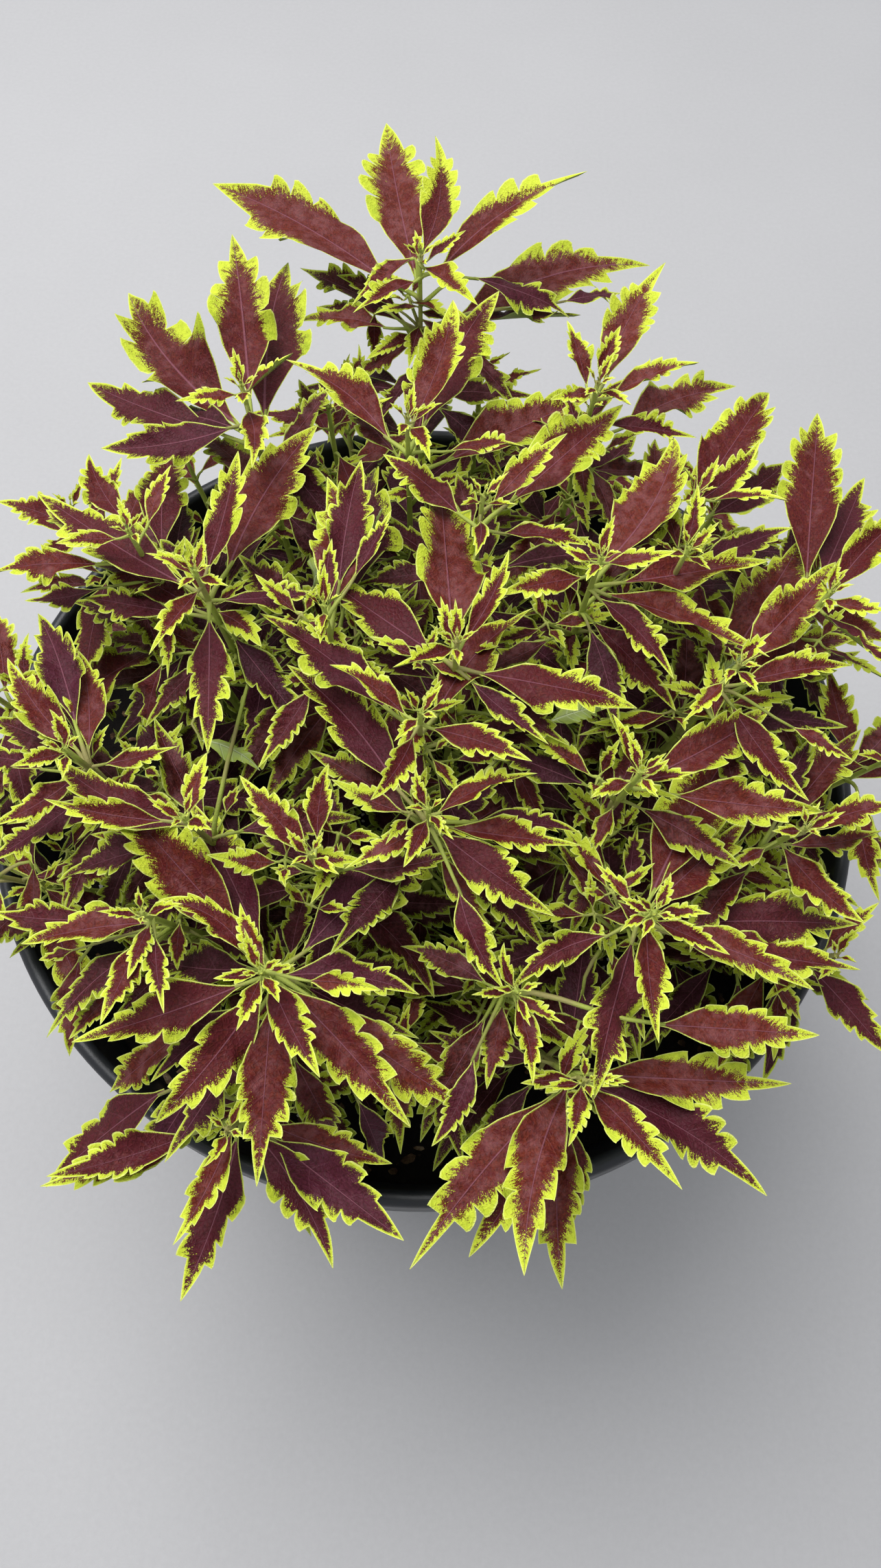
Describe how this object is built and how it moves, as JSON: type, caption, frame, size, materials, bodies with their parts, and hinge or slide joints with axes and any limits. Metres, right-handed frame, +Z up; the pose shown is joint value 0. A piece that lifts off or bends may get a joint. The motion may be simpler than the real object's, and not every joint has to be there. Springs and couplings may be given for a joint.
{
  "type": "potted coleus",
  "caption": "Bushy coleus with toothed maroon leaves edged in lime, growing in a round black plastic nursery pot full of soil.",
  "frame": {"origin": "middle of the pot's flat base, on the surface it stands on", "axes": "+Z up along the pot's axis; -Y is the side the picture is taken from; +X is to its right"},
  "size_m": [0.4486, 0.523, 0.461],
  "materials": {
    "pot_plastic": "satin, slightly scuffed",
    "peat_soil": "matte, damp, crumbly",
    "foliage": "soft satin leaf, maroon with lime edges"
  },
  "bodies": {
    "root": {"pot": "pot_plastic", "shoot_back_left": "foliage", "shoot_back_left_low": "foliage", "shoot_back_low": "foliage", "shoot_back_mid": "foliage", "shoot_back_middle_low": "foliage", "shoot_back_right": "foliage", "shoot_back_right_low": "foliage", "shoot_back_tip": "foliage", "shoot_center": "foliage", "shoot_center_front": "foliage", "shoot_center_low": "foliage", "shoot_front_droop": "foliage", "shoot_front_left": "foliage", "shoot_front_low": "foliage", "shoot_front_mid": "foliage", "shoot_front_right": "foliage", "shoot_inner_left": "foliage", "shoot_left_back": "foliage", "shoot_left_back_edge": "foliage", "shoot_left_edge": "foliage", "shoot_left_front": "foliage", "shoot_left_inner": "foliage", "shoot_left_side": "foliage", "shoot_left_side_back": "foliage", "shoot_left_side_front": "foliage", "shoot_mid_back": "foliage", "shoot_mid_left": "foliage", "shoot_middle_back_low": "foliage", "shoot_middle_right_low": "foliage", "shoot_right_back_low": "foliage", "shoot_right_back_outer": "foliage", "shoot_right_edge": "foliage", "shoot_right_edge_back": "foliage", "shoot_right_front": "foliage", "shoot_right_inner": "foliage", "shoot_right_mid": "foliage", "shoot_right_pale": "foliage", "shoot_right_side": "foliage", "shoot_right_side_back": "foliage", "shoot_right_side_front": "foliage", "shoot_right_small": "foliage", "soil": "peat_soil"}
  },
  "joints": []
}
